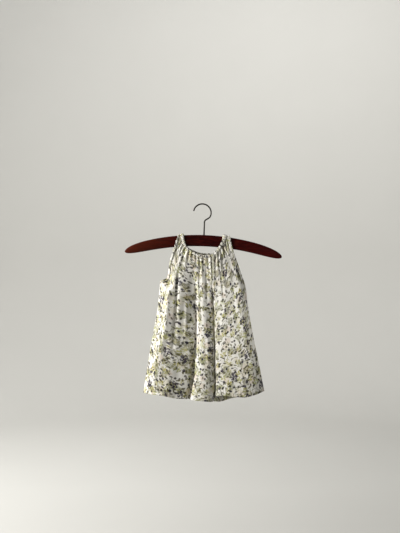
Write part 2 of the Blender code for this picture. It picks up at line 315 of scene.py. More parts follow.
# %% [markdown]
# Gathers and creases
#
# Elastic in the neck casing draws the cloth up into small ridges. They are close and even at
# the casing, and each runs down a different way before it dies out, so every gather gets its
# own length and height from a seeded table. Longer soft creases are laid as troughs and wide
# ridges between two points, and small pleats fan out over the shoulders.

# %% Tables of gathers and creases
GATHER_HEIGHT = 2.3 * MM
SHALLOWEST, TALLEST = 0.45, 1.2
SHORTEST_GATHER, LONGEST_GATHER = 0.07, 0.25
LONG_GATHER_EVERY = 5
GATHER_DRIFT = 0.011
FOLD_DRIFT = 0.022
RUMPLE = 1.2 * MM
PLEATS = 6
PLEAT_START, PLEAT_REACH, PLEAT_FALL = 1.0, 17.0, 23.0
PLEAT_HALF_WIDTH, PLEAT_RISE = 1.9, -2.3
SOFT_FOLDS = 9
SOFT_FOLD_HEIGHT = 1.4 * MM

# Right and up of the start, right and up of the end, half width and height, in millimetres.
FRONT_CREASES = (
    (-59, -170, -63.5, -262, 3.4, -3.4),
    (-63.5, -262, -72, -350, 4.4, -2.2),
    (-52, -165, -58, -270, 9, 1.8),
    (-22, -165, -25, -270, 8, -2),
    (-8, -150, -9, -215, 3, -1.4),
    (8, -146, 11, -230, 3.2, -1.5),
    (44, -150, 50, -225, 3.4, -1.6),
    (70, -185, 84, -300, 5, -1.8),
    (97, -250, 112, -340, 4.5, -1.4),
    (-88, -200, -101, -300, 4.5, -1.6),
    (-38, -230, -42, -330, 4, 1.4),
    (12, -300, 14, -420, 4, 1.2),
    (80, -146, 95, -222, 12, 3.2),
    (101, -240, 127, -438, 15, 3),
    (-92, -215, -101, -306, 8, 2),
    (-103, -318, -124, -446, 9, 3.4),
    (-85, -300, -99, -446, 11, -3.4),
)
# The two deepest troughs follow a thread of the cloth: its share of the cut width, how far down
# the side edge it starts and ends, half width as a share, and height.
FRONT_TROUGHS = ((0.369, 66, 396, 0.020, -4.4), (0.600, 66, 408, 0.012, -3.2))
BACK_CREASES = (
    (-20, -160, -24, -300, 3.8, -2),
    (14, -155, 16, -260, 3.4, -1.8),
    (52, -165, 60, -290, 4, -1.8),
    (-52, -170, -58, -290, 4, -2),
    (-80, -220, -94, -340, 4.6, -1.5),
    (84, -220, 96, -350, 4.6, -1.5),
)


def shoulder_pleats(neck):
    """Creases that fan out and down from the neck edge on both shoulders."""
    placed = [row for row in neck if row[1] is not None]
    halfway = [((a[0] + b[0]) / 2, (a[1] + b[1]) / 2) for a, b in zip(placed, placed[1:])]
    starts = sorted(placed + halfway)
    pleats = []
    for outward, shoulder in ((-1, starts[:PLEATS]), (1, starts[-PLEATS:])):
        for number, (x, z) in enumerate(shoulder):
            reach = PLEAT_REACH * (0.8 + 0.35 * math.sin(number * 2.1 + 1))
            start = (x + outward * PLEAT_START, z - PLEAT_START)
            end = (x + outward * reach, z - PLEAT_FALL)
            pleats.append((*start, *end, PLEAT_HALF_WIDTH, PLEAT_RISE))
    return tuple(pleats)


def gather_table(seed):
    """A length and a height for each gather, the same on every run."""
    dice = random.Random(seed)
    lengths = [dice.uniform(SHORTEST_GATHER, LONGEST_GATHER) for _ in range(GATHERS)]
    for long_one in range(seed % LONG_GATHER_EVERY, GATHERS, LONG_GATHER_EVERY):
        lengths[long_one] *= 2
    heights = [dice.uniform(SHALLOWEST, TALLEST) for _ in range(GATHERS)]
    return lengths, heights


print("gathers a panel:", GATHERS, "creases:", len(FRONT_CREASES), len(BACK_CREASES))

# %% [markdown]
# One panel, point by point
#
# For a share across and a distance along, a panel gives the place on the hung cloth: how far
# right and down it lies, then how far out it stands. Smooth noise keeps the folds from running
# ruler straight, and no fold reaches the side seams, where the two panels meet.

# %% A panel of cloth
PUCKER_PITCH = 9.0 * MM
HEM_DEPTH = 12.0 * MM
CASING_WIDTH = 8.0 * MM
FINE_PUCKER = 0.35 * MM
PUCKERED_HEM = 7.0 * MM
EDGE_PULL = 4
# How soon a gather, a crease and a trough rise: shares of the cut and of the crease's length,
# then millimetres.
CLEAR_OF_SEAM, CREASE_END, TROUGH_END = 0.06, 0.2, 60
# Where each of these sets in and over what distance, in millimetres of cloth from the bar's
# top, or as a share of the side edge.
ARMHOLE_SINKS, NECK_SWELLS = (32, 81), (28, 45)
FOLDS_SET_IN = (0.11, 0.42)
SOFT_FOLDS_SET_IN, SOFT_FOLDS_DIE_OUT = (0.05, 0.2), (0.35, 0.4)
GATHERS_DIE_FROM = 0.03


class Panel:
    """The front or the back: share runs across the cut, along runs down the side edge."""

    def __init__(self, side, neck, folds, creases, troughs, seed):
        self.side, self.troughs, self.seed = side, troughs, seed
        self.creases = [[value * MM for value in crease] for crease in creases]
        self.lengths, self.heights = gather_table(seed)
        places = unrolled(neck)
        lengths = [0.0]
        for a, b in zip(places, places[1:]):
            lengths.append(lengths[-1] + math.dist(a, b))
        shares = [length / lengths[-1] for length in lengths]
        self.neck_x, self.neck_drop = (steady_curve(shares, values) for values in zip(*places))
        shares, *columns = zip(*folds)
        mid_x, mid_depth, hem_x, hem_depth, hem_z = ([v * MM for v in column] for column in columns)
        self.mid_x, self.mid_depth = steady_curve(shares, mid_x), steady_curve(shares, mid_depth)
        self.hem_x, self.hem_depth = steady_curve(shares, hem_x), steady_curve(shares, hem_depth)
        self.hem_drop = steady_curve(shares, [drop_of(x, z) for x, z in zip(hem_x, hem_z)])
        along = [row[0] * MM for row in SIDE_EDGES]
        sides = [unrolled(row[first:first + 2] for row in SIDE_EDGES) for first in (1, 3)]
        self.edges = [[steady_curve(along, values) for values in zip(*side)] for side in sides]

    def wobble(self, across, down, layer):
        """Smooth noise from -1 to 1; each layer has its own."""
        return noise.noise(Vector((across, down, self.seed * layer)))

    def plain_place(self, share, along):
        """Where the cloth would lie if the side edges ran straight to the hem."""
        t = along / EDGE_LENGTH
        start, end = self.neck_x(share), self.hem_x(share)
        bend = 2 * self.mid_x(share) - (start + end) / 2
        x = (1 - t) ** 2 * start + 2 * t * (1 - t) * bend + t * t * end
        return x, (1 - t) * self.neck_drop(share) + t * self.hem_drop(share)

    def place(self, share, along):
        """Right and drop of a point, with the true side edges faded in towards the sides."""
        x, drop = self.plain_place(share, along)
        pulls = ((1 - share) ** EDGE_PULL, share**EDGE_PULL)
        for (edge_x, edge_drop), end, pull in zip(self.edges, (0.0, 1.0), pulls):
            plain_x, plain_drop = self.plain_place(end, along)
            x += pull * (edge_x(along) - plain_x)
            drop += pull * (edge_drop(along) - plain_drop)
        return x, drop

    def wavy(self, share, along):
        """The share moved a little to and fro, so that no fold runs ruler straight."""
        inside = 4 * share * (1 - share)
        return share + inside * FOLD_DRIFT * self.wobble(share * 4, along * 15, 1.9)

    def smooth_depth(self, share, along, drop):
        """Depth of the outer face from the plane of the side seams, without the gathers."""
        t = along / EDGE_LENGTH
        over_bar = FLAT_TOP + WRAP_ROUND + CLOTH
        beside = (1 - 4 * share * (1 - share)) ** 2
        armhole = (over_bar - SEAM_GAP / 2 - CLOTH) * fade(drop / MM, *ARMHOLE_SINKS)
        swell = NECK_STAND_OFF * fade(drop / MM, *NECK_SWELLS)
        top = over_bar + swell * (1 - beside) - armhole * beside
        lower = min(max(2 * t - 1, 0.0), 1.0)
        share = self.wavy(share, along)
        folds = (1 - lower) * self.mid_depth(share) + lower * self.hem_depth(share)
        blend = fade(t, *FOLDS_SET_IN)
        return (1 - blend) * top + blend * folds

    def drifted(self, share, along):
        """The share that a gather has wandered from, further and further below the neck."""
        t = min(along / EDGE_LENGTH * 4, 1.0)
        wander = self.wobble(share * 7, along * 14, 5.7)
        uneven = self.wobble(share * 13, 0.0, 2.3)
        return share + GATHER_DRIFT * (2.0 * wander * t + uneven)

    def ridge(self, share):
        """0 in the trough between two gathers, 1 on top of one."""
        return (1 - math.cos(math.tau * GATHERS * share)) / 2

    def gathers(self, share, along):
        """Height of the gathers below the neck, each with its own length and height."""
        t = along / EDGE_LENGTH
        inside = between(share, 0, 1, CLEAR_OF_SEAM)
        inside *= 0.2 + 0.8 * smoothstep(min(share, 1 - share) / 0.2)
        share = self.drifted(share, along)
        which = min(max(int(share * GATHERS), 0), GATHERS - 1)
        length, height = self.lengths[which], self.heights[which] * GATHER_HEIGHT
        fine = height * (1 - fade(t, GATHERS_DIE_FROM, length)) * self.ridge(share) ** 0.8
        soft = SOFT_FOLD_HEIGHT * fade(t, *SOFT_FOLDS_SET_IN) * (1 - fade(t, *SOFT_FOLDS_DIE_OUT))
        soft *= (1 - math.cos(math.tau * SOFT_FOLDS * share)) / 2
        return inside * (fine + soft)

    def small_folds(self, share, along, x, z):
        """Listed creases, puckers along the seams and the cloth's own slight unevenness."""
        height = 0.0
        for x0, z0, x1, z1, half_width, rise in self.creases:
            run = (x1 - x0) ** 2 + (z1 - z0) ** 2
            u = ((x - x0) * (x1 - x0) + (z - z0) * (z1 - z0)) / run
            if -CREASE_END < u < 1 + CREASE_END:
                off = ((x - x0) * (z1 - z0) - (z - z0) * (x1 - x0)) / math.sqrt(run)
                if abs(off) < 3 * half_width:
                    ends = between(u, -CREASE_END, 1 + CREASE_END, 2 * CREASE_END)
                    height += rise * ends * math.exp(-((off / half_width) ** 2))
        for middle, start, end, half_width, rise in self.troughs:
            ends = between(along / MM, start, end, TROUGH_END)
            off = (self.wavy(share, along) - middle) / half_width
            height += rise * MM * ends * math.exp(-(off**2))
        from_hem = EDGE_LENGTH - along
        across = x / PUCKER_PITCH
        pucker = math.sin(math.tau * across + 2 * math.sin(across * 1.7 + self.seed))
        height += FINE_PUCKER * pucker * math.exp(-(((from_hem - HEM_DEPTH) / PUCKERED_HEM) ** 2))
        beside = min(share, 1 - share)
        seam = math.sin(math.tau * along / PUCKER_PITCH + 3 * math.sin(along * 90 + self.seed))
        height += FINE_PUCKER * seam * math.exp(-((beside / 0.03) ** 2)) * smoothstep(beside / 0.01)
        rumple = self.wobble(x * 26, z * 11, 7.3) + 0.5 * self.wobble(x * 70, z * 30, 3.1)
        settled = fade(along / EDGE_LENGTH, 0.06, 0.2) * smoothstep(beside / 0.08)
        return height * smoothstep(beside / 0.02) + RUMPLE * rumple * settled

    def point(self, share, along, lift=0.0, gathered=True):
        """A point of the cloth's outer face, moved out by lift."""
        x, drop = self.place(share, along)
        out = self.smooth_depth(share, along, drop) - FLAT_TOP - WRAP_ROUND
        if gathered:
            z = bar_top_at(x) + BAR_CLEARANCE - WRAP_ROUND - (drop - WRAP_END)
            out += self.gathers(share, along) + self.small_folds(share, along, x, z)
        return hung(x, drop, out + lift, self.side)


FRONT_SEED, BACK_SEED = 3, 11
front_creases = FRONT_CREASES + shoulder_pleats(FRONT_NECK)
back_creases = BACK_CREASES + shoulder_pleats(BACK_NECK)
FRONT = Panel(-1, FRONT_NECK, FRONT_FOLDS, front_creases, FRONT_TROUGHS, FRONT_SEED)
BACK = Panel(1, BACK_NECK, BACK_FOLDS, back_creases, (), BACK_SEED)
PANELS = {"front": FRONT, "back": BACK}
print("front neck centre, mm:", [round(v / MM, 1) for v in FRONT.point(0.5, 0.0)])

# %% [markdown]
# The cloth itself
#
# Each panel is a fine sheet, densest near the neck where it bends most. At the hem the same
# sheet turns inwards and runs back up, as a sewn hem does. A Solidify modifier gives the lawn
# its thickness, with the wrong side of the cloth as a second material.

# %% Lay the fine sheets
COLUMNS = 324
LAWN = 0.3 * MM
TURN_BACK = 0.9 * MM
FIRST_ROW = 5.5 * MM
FLAT_NECK = 280 * MM
FLAT_HEM = 372 * MM
BACK_UV_SHIFT = 0.61
FINE_ROW, WIDEST_ROW = 1.2 * MM, 4.0 * MM
FINE_ROWS_TO, ROW_GROWTH = 26 * MM, 0.06
# Millimetres from the hem, and share of the turn inwards: round the fold, then back up.
HEM_FOLD = ((2.4, 0.0), (1.0, 0.02), (0.3, 0.15), (0.0, 0.5), (0.3, 0.85), (1.0, 0.98))
TURNED_UP = ((3.0, 1.0), (6.0, 1.0), (9.0, 1.0), (12.0, 1.0))


def row_places():
    """Distances down the side edge, and how far each row is turned inwards."""
    places, along = [], FIRST_ROW
    while along < EDGE_LENGTH - 3.9 * MM:
        places.append((along, 0.0))
        wider = min(WIDEST_ROW, FINE_ROW + (along - FINE_ROWS_TO) * ROW_GROWTH)
        along += FINE_ROW if along < FINE_ROWS_TO else wider
    for from_hem, inwards in HEM_FOLD + TURNED_UP:
        places.append((EDGE_LENGTH - from_hem * MM, inwards * TURN_BACK))
    return places


def flat_place(share, down):
    """Place on the flat cut in metres: the centre front is the grain line."""
    t = min(down / EDGE_LENGTH, 1.0)
    return (share - 0.5) * (FLAT_NECK + (FLAT_HEM - FLAT_NECK) * t), -down


def uv_shift(panel):
    """The back is printed from another part of the cloth than the front."""
    return BACK_UV_SHIFT if panel.side > 0 else 0.0


def lay_panel(name, panel, node):
    rows, down = [], []
    for along, inwards in row_places():
        rows.append([panel.point(c / COLUMNS, along, -inwards) for c in range(COLUMNS + 1)])
        if panel.side > 0:
            rows[-1].reverse()
        down.append(2 * EDGE_LENGTH - along if inwards > TURN_BACK / 2 else along)

    def uvs(row, column):
        share = column / COLUMNS
        u, v = flat_place(1 - share if panel.side > 0 else share, down[row])
        return u + uv_shift(panel), v

    made = skinned(name, rows, uvs)
    for face in made.data.polygons:
        face.flip()
    wall = made.modifiers.new("lawn", "SOLIDIFY")
    wall.thickness = LAWN
    wall.offset = -1
    wall.material_offset = 1
    wall.material_offset_rim = 0
    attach(made, "root")
    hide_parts(node)
    return made


cloths = [lay_panel(f"{side}_cloth", panel, f"{side}_panel") for side, panel in PANELS.items()]
print("faces a sheet:", len(cloths[0].data.polygons))

# %% [markdown]
# The neck casing
#
# A folded edge of the same cotton holds the elastic. Drawn up, it is a soft narrow tube with a
# ridge for every gather: rings round the tube, set along the neck edge, each a little fatter on
# a gather than between two.

# %% Loft the casings
CASING_THICKNESS = 2.9 * MM
CASING_RIPPLE, HALF_RIPPLE, SCALLOP = 1.1 * MM, 0.25 * MM, 0.5 * MM
STATIONS = 18 * GATHERS
CASING_RING = 16
CASING_SQUARENESS = 0.7


def loft_casing(name, panel, node):
    dice = random.Random(panel.seed + 40)
    fullness = [dice.uniform(0.6, 1.15) for _ in range(GATHERS + 1)]
    rings = []
    for i in range(STATIONS + 1):
        share = i / STATIONS
        which = min(int(share * GATHERS), GATHERS)
        ripple = CASING_RIPPLE * fullness[which] * panel.ridge(share) ** 0.7
        half_gather = HALF_RIPPLE * math.sin(4 * math.pi * GATHERS * share)
        ring = []
        for angle in turns(CASING_RING, 0.5):
            wide = CASING_WIDTH / 2 * (1 - math.cos(angle) * 1.06)
            scallop = SCALLOP * (1 - panel.ridge(share)) * fade(math.cos(angle), 0.3, 0.7)
            rise = signed_power(math.sin(angle), CASING_SQUARENESS)
            lift = CASING_THICKNESS * (1 + rise) / 2 - CLOTH
            lift += (ripple + half_gather) * max(rise, 0.0)
            ring.append(panel.point(share, max(wide + scallop, 0.0), lift, gathered=False))
        rings.append(ring)

    def uvs(row, column):
        share = row / STATIONS
        return (share - 0.5) * FLAT_NECK + uv_shift(panel), 0.02 + column * 1.3 * MM

    return loft(name, node, rings, uvs)


casings = []
for side, panel in PANELS.items():
    casings.append(loft_casing(f"casing_{side}", panel, f"neck_casing_{side}"))
print("casing rings:", STATIONS + 1)

# %% [markdown]
# The armhole bindings
#
# Each armhole edge is finished with a narrow bias strip, folded over and stitched. It is a flat
# tube with rounded edges that follows the cloth's own edge a hair above it.

# %% Loft the bindings
BINDING_SHARE = 2 / 72
BINDING_LIFT = 0.5 * MM
BINDING_THICKNESS, BINDING_PUCKER = 1.0 * MM, 0.12 * MM
BINDING_ROWS = 70
BINDING_STEP = (UNDERARM - SHOULDER_CORNER) / BINDING_ROWS
BINDING_RING = 12
BINDING_SQUARENESS = 0.6


def loft_binding(name, panel, right, node):
    rings = []
    for i in range(BINDING_ROWS + 1):
        along = SHOULDER_CORNER + BINDING_STEP * i
        pucker = BINDING_PUCKER * math.sin(i * 1.9 + panel.seed)
        ring = []
        for angle in turns(BINDING_RING, 0.5):
            across = BINDING_SHARE * (1 - math.cos(angle)) / 2
            rise = signed_power(math.sin(angle), BINDING_SQUARENESS)
            lift = BINDING_LIFT + BINDING_THICKNESS * (1 + rise) / 2 + pucker * (rise > 0)
            ring.append(panel.point(1 - across if right else across, along, lift))
        rings.append(ring)

    def uvs(row, column):
        return column * 0.9 * MM + (0.3 if right else 0.0), row * 1.8 * MM

    return loft(name, node, rings, uvs)


bindings = []
for side, panel in PANELS.items():
    for hand, right in (("left", False), ("right", True)):
        node = f"armhole_binding_{hand}_{side}"
        bindings.append(loft_binding(f"binding_{hand}_{side}", panel, right, node))
print("bindings:", len(bindings))

# %% [markdown]
# The hanger bar
#
# The bar is a flat arched stick of hardwood with rounded edges and tips. A flat outline with a
# bevel would leave the tips blunt, so it is a loft: a rounded rectangle, set along the arch,
# that shrinks as it nears each tip.

# %% Loft the bar
BAR_STATIONS = 180
BAR_RING = 64
FLAT_SQUARENESS = 0.42
EDGE_SQUARENESS = 1.9 * FLAT_SQUARENESS
BLUNTEST_TIP, TIP_DEPTH_POWER = 0.02, 0.45


def bar_ring(reach):
    """The bar's section at reach, from -1 at the left tip to 1 at the right one."""
    x = BAR_HALF_SPAN * reach
    middle = BAR_TOP - BAR_HALF_HEIGHT - x * x / (2 * BAR_ARC_RADIUS)
    nose = max(math.sqrt(max(1 - abs(reach) ** BAR_NOSE_POWER, 0.0)), BLUNTEST_TIP)
    half_height = BAR_HALF_HEIGHT * (1 - BAR_TAPER * abs(reach)) * nose
    half_depth = BAR_HALF_DEPTH * nose**TIP_DEPTH_POWER
    ring = []
    for angle in turns(BAR_RING):
        y = half_depth * signed_power(math.cos(angle), FLAT_SQUARENESS)
        z = half_height * signed_power(math.sin(angle), EDGE_SQUARENESS)
        ring.append(LEANING @ Vector((x + STEM_X, y, middle + z)))
    return ring


reaches = [math.sin(math.pi * (i / BAR_STATIONS - 0.5)) for i in range(BAR_STATIONS + 1)]


def bar_uvs(row, column):
    return reaches[row] * BAR_HALF_SPAN, column * 1.2 * MM


bar = loft("wooden_bar", "hanger_bar", [bar_ring(reach) for reach in reaches], bar_uvs)
print("bar faces:", len(bar.data.polygons))

# %% [markdown]
# The hook
#
# The hook is one length of steel wire. It comes straight up out of the bar, bends right to meet
# the hook's circle, goes over the peg and ends open on the left. Rings round that path make the
# wire, and its open end is rounded off, as a clipped wire that was dipped would be.

# %% Bend the wire
ARC_STEPS, BEND_STEPS = 60, 12
WIRE_RING = 16
TIP_ROUNDING = (80, 60, 40, 20)
BACKWARDS = Vector((0, 1, 0))


def hook_path():
    """Centreline of the wire, from its tip over the peg and down into the bar."""
    centre_z = -(HOOK_RADIUS - WIRE_RADIUS)
    tip, leave = math.radians(HOOK_TIP_ANGLE), math.radians(HOOK_LEAVE_ANGLE)
    path = []
    for i in range(ARC_STEPS + 1):
        angle = tip + (leave - tip) * i / ARC_STEPS
        path.append((HOOK_RADIUS * math.cos(angle), centre_z + HOOK_RADIUS * math.sin(angle)))
    bend = Vector((STEM_X, -STEM_BEND_BELOW_PEG))
    towards = (Vector(path[-1]) - bend).normalized()
    start, end = bend + towards * STEM_BEND_RADIUS, bend - Vector((0, STEM_BEND_RADIUS))
    for i in range(BEND_STEPS + 1):
        u = i / BEND_STEPS
        path.append(tuple((1 - u) ** 2 * start + 2 * u * (1 - u) * bend + u * u * end))
    path.append((STEM_X, BAR_TOP - STEM_DEPTH_IN_BAR))
    return [LEANING @ Vector((x, 0, z)) for x, z in path]


def wire_rings(path, radius):
    """Rings round a path that lies in the plane of the bar, with a rounded first end."""
    rings = []
    for i, point in enumerate(path):
        along = (path[min(i + 1, len(path) - 1)] - path[max(i - 1, 0)]).normalized()
        aside = along.cross(BACKWARDS).normalized()
        ring = [aside * math.cos(a) + BACKWARDS * math.sin(a) for a in turns(WIRE_RING)]
        for angle in map(math.radians, TIP_ROUNDING if i == 0 else ()):
            centre = point - along * radius * math.sin(angle) + along * radius
            rings.append([centre + radius * math.cos(angle) * side for side in ring])
        if i > 0:
            rings.append([point + radius * side for side in ring])
    return rings


def wire_uvs(row, column):
    return row * 1.5 * MM, column * 0.7 * MM


hook = loft("wire_hook", "hanger_hook", wire_rings(hook_path(), WIRE_RADIUS), wire_uvs)
print("hook faces:", len(hook.data.polygons))

# %% [markdown]
# Stitches
#
# Machine stitches show as short raised grains of thread in a row. They are real geometry,
# because they catch the light and stay in the exported mesh: one small six-sided grain,
# repeated along a line of the cloth's own points.

# %% Sew the seams
STITCH_LENGTH = 2.2 * MM
STITCH_GAP = 0.7 * MM
THREAD = 0.3 * MM
GRAIN_SIDES = 6
# Share of the stitch's length, then size and lift in thread radii.
SPINDLE = ((0.0, 0.35, -0.3), (0.3, 1.0, 0.5), (0.7, 1.0, 0.5), (1.0, 0.35, -0.3))
SEAM_STEPS = 900
ARMHOLE_STEP = 0.4 * MM


def stitch_grain(work, start, end, outwards):
    """One stitch from start to end: a spindle that dips into the cloth at both ends."""
    along = (end - start).normalized()
    aside = along.cross(outwards).normalized()
    rings = []
    for u, size, lift in SPINDLE:
        centre = start.lerp(end, u) + outwards * lift * THREAD
        sides = [aside * math.cos(a) + outwards * math.sin(a) for a in turns(GRAIN_SIDES)]
        rings.append([work.verts.new(centre + side * size * THREAD) for side in sides])
    for before, after in zip(rings, rings[1:]):
        for k in range(GRAIN_SIDES):
            n = (k + 1) % GRAIN_SIDES
            work.faces.new((before[k], before[n], after[n], after[k])).smooth = True
    work.faces.new(rings[0][::-1])
    work.faces.new(rings[-1])


def sew(name, line, side):
    """Stitches along a line of cloth points, evenly spaced by length."""
    work = bmesh.new()
    travelled, start, stitched = 0.0, line[0], 0
    for before, after in zip(line, line[1:]):
        travelled += (after - before).length
        if travelled >= STITCH_LENGTH:
            outwards = Vector((0, side, 0))
            forward = (after - start).normalized()
            outwards = (outwards - forward * outwards.dot(forward)).normalized()
            end = start.lerp(after, STITCH_LENGTH / (STITCH_LENGTH + STITCH_GAP))
            stitch_grain(work, start, end, outwards)
            travelled, start, stitched = 0.0, after, stitched + 1
    bmesh.ops.recalc_face_normals(work, faces=work.faces)
    made = object_of(work, name)
    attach(made, "root")
    print(name, "stitches:", stitched)
    return made


along_panel = [i / SEAM_STEPS for i in range(4, SEAM_STEPS - 3)]
down_armhole = [SHOULDER_CORNER + ARMHOLE_STEP * i for i in range(3, 315)]
on_strip, above_strip = BINDING_SHARE * 0.86, BINDING_LIFT + BINDING_THICKNESS * 0.9
SEAMS = {
    "hem": ([(share, EDGE_LENGTH - HEM_DEPTH + 1.0 * MM) for share in along_panel], 0.1 * MM),
    "neck": ([(share, CASING_WIDTH + 0.8 * MM) for share in along_panel], 0.15 * MM),
    "armhole_left": ([(on_strip, along) for along in down_armhole], above_strip),
    "armhole_right": ([(1 - on_strip, along) for along in down_armhole], above_strip),
}
stitching = []
for side, panel in PANELS.items():
    for place, (spots, lift) in SEAMS.items():
        line = [panel.point(share, along, lift) for share, along in spots]
        stitching.append(sew(f"stitches_{place}_{side}", line, panel.side))

# %% [markdown]
# Writing materials as sums
#
# A procedural material is a graph of nodes, which is slow to read when every link is a line of
# its own. A small class wraps one socket, so that 1 - mask or length * 3 adds the Math node it
# stands for. Colours and vectors have calls of their own, as Math turns a colour grey.

# %% Graphs and lines


class Line:
    """One output socket; sums on it add Math nodes to its graph."""

    def __init__(self, graph, socket):
        self.graph, self.socket = graph, socket

    def math(self, operation, *others, clamp=False):
        return self.graph.math(operation, self, *others, clamp=clamp)

    def ramp(self, slope):
        """Times slope, kept between 0 and 1."""
        return self.math("MULTIPLY", slope, clamp=True)

    __add__ = __radd__ = partialmethod(math, "ADD")
    __sub__ = partialmethod(math, "SUBTRACT")
    __mul__ = __rmul__ = partialmethod(math, "MULTIPLY")
    __truediv__ = partialmethod(math, "DIVIDE")
    __abs__ = partialmethod(math, "ABSOLUTE")

    def __rsub__(self, other):
        return self.graph.math("SUBTRACT", other, self)


class Graph:
    """The nodes of one material round its Principled shader."""

    def __init__(self, name, **constants):
        self.material = bpy.data.materials.new(name)
        self.material.use_nodes = True
        self.tree = self.material.node_tree
        self.shader = self.tree.nodes["Principled BSDF"]
        for socket, value in constants.items():
            self.shader.inputs[socket.replace("_", " ")].default_value = value

    def node(self, kind, values, output=0, **settings):
        """Add a node, set it up and give its sockets their values or lines."""
        made = self.tree.nodes.new(kind)
        for name, value in settings.items():
            setattr(made, name, value)
        for name, value in values.items():
            socket = made.inputs[name]
            if isinstance(value, Line):
                self.tree.links.new(value.socket, socket)
            else:
                socket.default_value = value
        if isinstance(output, tuple):
            return tuple(Line(self, made.outputs[name]) for name in output)
        return Line(self, made.outputs[output])

    def math(self, operation, *values, clamp=False):
        values = dict(enumerate(values))
        return self.node("ShaderNodeMath", values, operation=operation, use_clamp=clamp)

    def vector(self, operation, a, b):
        return self.node("ShaderNodeVectorMath", {0: a, 1: b}, operation=operation)

    def distance(self, vector):
        return self.node("ShaderNodeVectorMath", {0: vector}, "Value", operation="LENGTH")

    def mix(self, factor, a, b):
        """Colour a where factor is 0, and b where it is 1."""
        a, b = (value if isinstance(value, Line) else (*value, 1.0) for value in (a, b))
        return self.node("ShaderNodeMix", {0: factor, 6: a, 7: b}, 2, data_type="RGBA")

    def parts(self, vector):
        return self.node("ShaderNodeSeparateXYZ", {0: vector}, ("X", "Y", "Z"))

    def noise(self, place, scale, detail=2.0, roughness=0.5):
        values = {"Vector": place, "Scale": scale, "Detail": detail, "Roughness": roughness}
        return self.node("ShaderNodeTexNoise", values)

    def cloth_place(self):
        """Place on the flat cut, in metres."""
        return self.node("ShaderNodeUVMap", {}, uv_map="cloth")

    def object_place(self):
        return self.node("ShaderNodeTexCoord", {}, "Object")

    def shade(self, **lines):
        for socket, line in lines.items():
            self.tree.links.new(line.socket, self.shader.inputs[socket.replace("_", " ")])

    def bump(self, *heights):
        """Chain bumps, each a (height, distance in metres, strength)."""
        normal = None
        for height, distance, strength in heights:
            values = {"Height": height, "Distance": distance, "Strength": strength}
            if normal:
                values["Normal"] = normal
            normal = self.node("ShaderNodeBump", values)
        self.shade(Normal=normal)


print("graph tools ready")

# %% [markdown]
# The printed cotton
#
# The lawn is off-white, with a close print of sprigs, small leaves, berries and a few larger
# dark blossoms, in watery olive, yellow-green, dusty pink and navy. Every motif is a formula,
# strewn over the cloth by Voronoi cells: each cell gives a middle for one motif and three dice
# for its turn, its tint and whether it is there. The layout and the motifs are made up for this
# dress.

# %% Shapes of the motifs
LAYER_SHIFT, SCATTER = (0.137, 0.291), 0.95
FULL_TURN = 6.283
LEAVES_A_SPRIG = 2.6
PETALS = 5
FLORET_SCALE, FLORETS_FROM, FLORET_SLOPE = 190.0, 0.44, 0.02


def soft_edge(line, blur):
    """1 well inside a shape, 0 outside; line is the distance inside its edge."""
    return (line / blur).math("ADD", 0.5, clamp=True)


def strewn(graph, place, spacing, seed):
    """Place measured from the nearest strewn point, turned at random, and that point's dice."""
    moved = graph.vector("ADD", place, (seed * LAYER_SHIFT[0], seed * LAYER_SHIFT[1], 0.0))
    values = {"Vector": moved, "Scale": 1 / spacing, "Randomness": SCATTER}
    outputs = ("Color", "Position")
    dice, middle = graph.node("ShaderNodeTexVoronoi", values, outputs, voronoi_dimensions="2D")
    turn, tint, there = graph.parts(dice)
    values = {"Vector": graph.vector("SUBTRACT", moved, middle), "Angle": turn * FULL_TURN}
    return graph.node("ShaderNodeVectorRotate", values, rotation_type="Z_AXIS"), tint, there


def leaf(graph, local, length, width):
    """A pointed leaf along X."""
    x, y, _ = graph.parts(local)
    reach = x / length
    return (1 - reach * reach) * width - abs(y)


def stem(graph, local, length, width):
    """A thin stem that curves to one side."""
    x, y, _ = graph.parts(local)
    off = y - x * x * (0.35 / length)
    return (width - abs(off)).math("MINIMUM", length - abs(x))


def sprig(graph, local, length, width):
    """A stem with a leaf to each side at even steps."""
    x, y, _ = graph.parts(local)
    step = length / LEAVES_A_SPRIG
    aside = abs(y - x * x * (0.25 / length))
    along = (x - aside * 0.8).math("FLOORED_MODULO", step) - step / 2
    reach = (aside - width * 1.2) / (width * 1.2)
    leaflet = (1 - reach * reach) * (width * 0.5) - abs(along)
    return leaflet.math("MAXIMUM", width * 0.16 - aside).math("MINIMUM", length - abs(x))


def blossom(graph, local, length, width):
    """Petals round a middle; width is how deep the cuts between them are."""
    x, y, _ = graph.parts(local)
    petals = abs((y.math("ARCTAN2", x) * (PETALS / 2)).math("COSINE"))
    return petals * width + (length - width) - graph.distance(local)


def cluster(graph, local, length, width):
    """A loose head of small florets: a blossom broken up by fine noise."""
    florets = graph.noise(graph.vector("ADD", local, (length, width, 0.0)), FLORET_SCALE, 1.0)
    edge = (florets - FLORETS_FROM) * FLORET_SLOPE
    return blossom(graph, local, length, width).math("MINIMUM", edge)


def berry(graph, local, length, width):
    return length - graph.distance(local)


SHAPES = {shape.__name__: shape for shape in (leaf, stem, sprig, blossom, cluster, berry)}
print("motif shapes:", ", ".join(SHAPES))

# %% Strew the motifs
OFF_WHITE = (0.78, 0.765, 0.715)
OLIVE = (0.115, 0.105, 0.030)
YELLOW_OLIVE = (0.41, 0.36, 0.070)
GREY_GREEN = (0.26, 0.265, 0.14)
SOFT_GREEN = (0.33, 0.36, 0.11)
BARK = (0.034, 0.028, 0.016)
NAVY = (0.010, 0.009, 0.026)
PLUM = (0.035, 0.022, 0.050)
DUSTY_PINK = (0.60, 0.45, 0.36)
SAND = (0.62, 0.54, 0.38)

EDGE_WANDER, WANDER_SCALE = 0.9 * MM, 240.0
WASH_SCALE = 95.0
DENSER_FROM, DENSER_SLOPE, DENSER_BY = 0.24, 6.0, 0.3
